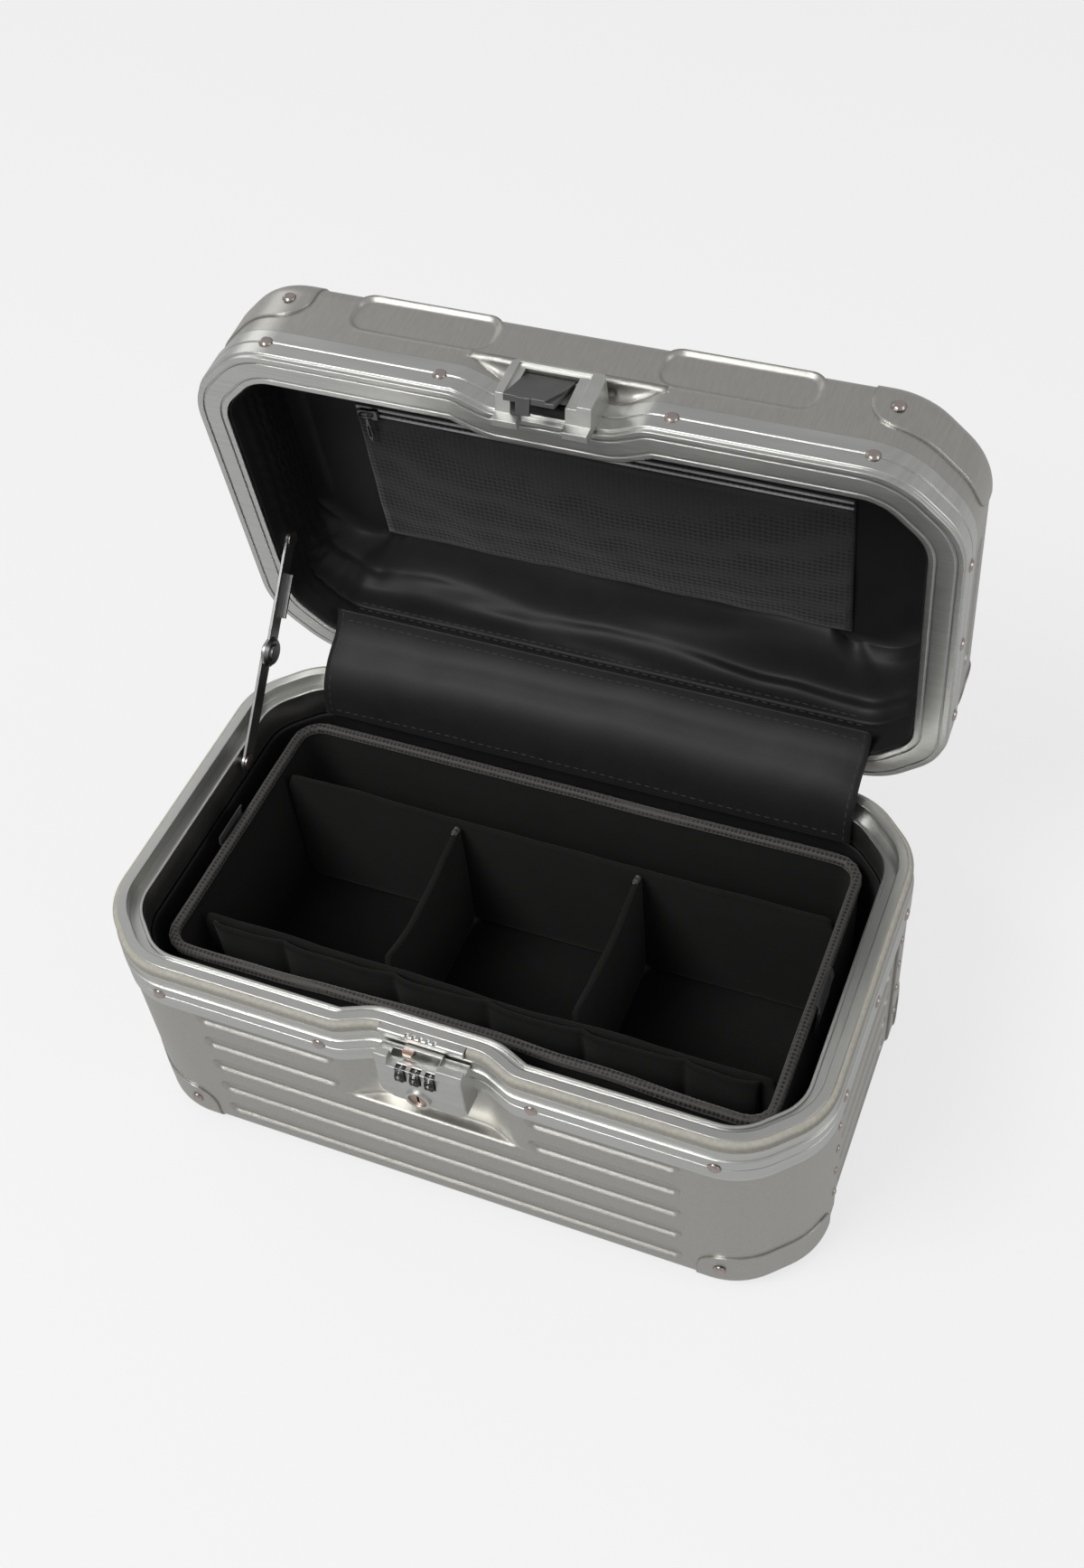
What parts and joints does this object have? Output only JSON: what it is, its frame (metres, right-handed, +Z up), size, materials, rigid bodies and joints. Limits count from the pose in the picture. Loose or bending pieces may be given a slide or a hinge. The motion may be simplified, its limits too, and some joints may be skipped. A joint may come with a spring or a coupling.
{
  "type": "cosmetic case",
  "caption": "Rounded aluminium vanity case with ribbed sides, hinged lid on a folding stay, lever latch, dial lock and a padded organiser inside.",
  "frame": {"origin": "on the surface under the case, below the middle of the base", "axes": "+X along the case to the right, -Y is the front with the lock, +Z is up"},
  "size_m": [0.3622, 0.2814, 0.3525],
  "materials": {
    "sheet_aluminium": "satin anodised sheet",
    "rail_aluminium": "satin anodised extrusion",
    "rivet_chrome": "polished",
    "lock_metal": "satin plated die casting",
    "steel": "bright plated",
    "pale_plastic": "satin",
    "copper_brass": "satin",
    "black_plastic": "fine matte",
    "black_rubber": "matte",
    "beige_rubber": "matte",
    "padding": "foam",
    "lining_cloth": "black satin weave",
    "fleece": "brushed black fleece",
    "mesh": "open black mesh",
    "zip_tape": "woven tape with coil",
    "dark_metal": "dark plated"
  },
  "bodies": {
    "base": {"base_front_shell": "sheet_aluminium", "base_rear_shell": "sheet_aluminium", "base_left_panel": "sheet_aluminium", "base_right_panel": "sheet_aluminium", "base_bottom_panel": "sheet_aluminium", "base_frame": "rail_aluminium", "base_seal": "beige_rubber", "base_corner_guards": "rail_aluminium", "base_rivets": "rivet_chrome", "feet": "black_rubber", "base_padding": "padding", "base_lining": "lining_cloth", "organiser_box": "fleece", "long_divider": "fleece", "front_partition": "fleece", "cross_divider_left": "fleece", "cross_divider_right": "fleece", "pocket_strip": "fleece", "organiser_loops": "fleece", "lock_housing": "lock_metal", "lock_striker": "pale_plastic", "dial_axle": "steel", "base_hinge_leaves": "steel", "hinge_pins": "steel", "stay_base_stud": "steel", "hinge_flap": "lining_cloth"},
    "lid": {"lid_shell": "sheet_aluminium", "lid_frame": "rail_aluminium", "lid_corner_guards": "rail_aluminium", "lid_rivets": "rivet_chrome", "lid_padding": "padding", "lid_lining": "lining_cloth", "lid_hinge_leaves": "steel", "stay_lid_stud": "steel", "latch_housing": "lock_metal", "lever_pin": "steel", "latch_buffer": "black_rubber", "handle_mounts": "lock_metal", "handle_pins": "steel", "lid_mesh_pocket": "mesh", "zip_track": "zip_tape"},
    "lever": {"latch_lever": "lock_metal"},
    "handle": {"handle_grip": "black_plastic"},
    "slider": {"zip_slider": "dark_metal"},
    "lower_arm": {"stay_lower_arm": "steel"},
    "upper_arm": {"stay_upper_arm": "steel"},
    "dial_a": {"dial_1": "black_plastic"},
    "dial_b": {"dial_2": "black_plastic"},
    "dial_c": {"dial_3": "black_plastic"},
    "key": {"key_cylinder": "copper_brass"},
    "bolt": {"lock_bolt": "copper_brass"}
  },
  "joints": [
    {"name": "lid_hinge", "type": "hinge", "parent": "base", "child": "lid", "pos_m": [0, 0.1085, 0.1277], "axis": [1, 0, 0], "range_deg": [0, 83], "deforming": ["hinge_flap"]},
    {"name": "lower_arm_pivot", "type": "hinge", "parent": "base", "child": "lower_arm", "pos_m": [-0.1622, 0.0351, 0.1187], "axis": [1, 0, 0], "range_deg": [0, 126.67]},
    {"name": "upper_arm_pivot", "type": "hinge", "parent": "lid", "child": "upper_arm", "pos_m": [-0.1622, 0.11442, 0.205], "axis": [1, 0, 0], "range_deg": [-112.28, 0]},
    {"name": "lever_pivot", "type": "hinge", "parent": "lid", "child": "lever", "pos_m": [-0.003, 0.10198, 0.34412], "axis": [1, 0, 0], "range_deg": [-60, 23]},
    {"name": "handle_pivot", "type": "hinge", "parent": "lid", "child": "handle", "pos_m": [0, 0.15918, 0.25734], "axis": [1, 0, 0], "range_deg": [0, 180]},
    {"name": "zip_run", "type": "slide", "parent": "lid", "child": "slider", "axis": [1, 0, 0], "range_m": [0, 0.229]},
    {"name": "dial_a_spin", "type": "hinge", "parent": "base", "child": "dial_a", "pos_m": [-0.0083, -0.1079, 0.1168], "axis": [1, 0, 0], "continuous": true},
    {"name": "dial_b_spin", "type": "hinge", "parent": "base", "child": "dial_b", "pos_m": [-0.001, -0.1079, 0.1168], "axis": [1, 0, 0], "continuous": true},
    {"name": "dial_c_spin", "type": "hinge", "parent": "base", "child": "dial_c", "pos_m": [0.0063, -0.1079, 0.1168], "axis": [1, 0, 0], "continuous": true},
    {"name": "key_turn", "type": "hinge", "parent": "base", "child": "key", "pos_m": [-0.002, -0.1095, 0.0995], "axis": [0, -1, 0], "range_deg": [0, 90]},
    {"name": "bolt_slide", "type": "slide", "parent": "base", "child": "bolt", "axis": [1, 0, 0], "range_m": [0, 0.003]}
  ],
  "couplings": [
    {"joint": "lower_arm_pivot", "follows": "lid_hinge", "ratio": 1.526},
    {"joint": "upper_arm_pivot", "follows": "lid_hinge", "ratio": -1.3527},
    {"joint": "key_turn", "follows": "bolt_slide", "rad_per_m": 523.6}
  ]
}
